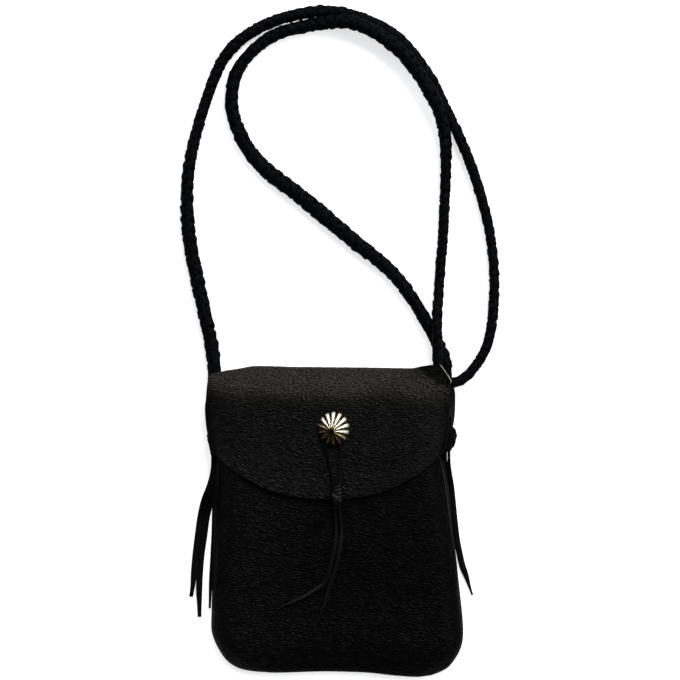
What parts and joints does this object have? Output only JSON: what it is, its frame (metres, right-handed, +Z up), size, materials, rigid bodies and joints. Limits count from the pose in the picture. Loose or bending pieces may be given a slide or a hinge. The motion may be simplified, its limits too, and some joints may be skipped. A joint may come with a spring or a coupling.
{
  "type": "leather medicine bag",
  "caption": "Small black leather pouch with a fold-over flap, a fluted metal dome with a lace tie, side thongs and a long braided neck strap.",
  "frame": {"origin": "on the surface the bag lies on, under the middle of the bag without its neck strap and thongs", "axes": "+Z up out of the front of the bag, +Y towards the fold at its top, +X to the right as one looks down on the front"},
  "size_m": [0.181, 0.38, 0.0223],
  "materials": {
    "bag_leather": "soft black pebbled leather, satin on the fold",
    "braided_leather": "matt black braided thongs",
    "thong_leather": "matt black flat thong",
    "antiqued_silver": "antiqued silver with dark grooves"
  },
  "bodies": {
    "pouch": {"back_panel": "bag_leather", "front_panel": "bag_leather", "neck_strap": "braided_leather", "left_strap_knot": "braided_leather", "right_strap_knot": "braided_leather", "left_thong_outer": "thong_leather", "left_thong_inner": "thong_leather", "left_thong_short": "thong_leather", "right_thong": "thong_leather"},
    "flap": {"flap": "bag_leather", "concho": "antiqued_silver", "concho_shank": "antiqued_silver", "tie_lace": "thong_leather", "tie_knot": "thong_leather", "tie_tail_long": "thong_leather", "tie_tail_short": "thong_leather"}
  },
  "joints": [
    {"name": "flap_fold", "type": "hinge", "parent": "pouch", "child": "flap", "pos_m": [0, 0.0777, 0.01575], "axis": [-1, 0, 0], "range_deg": [0, 180]}
  ]
}
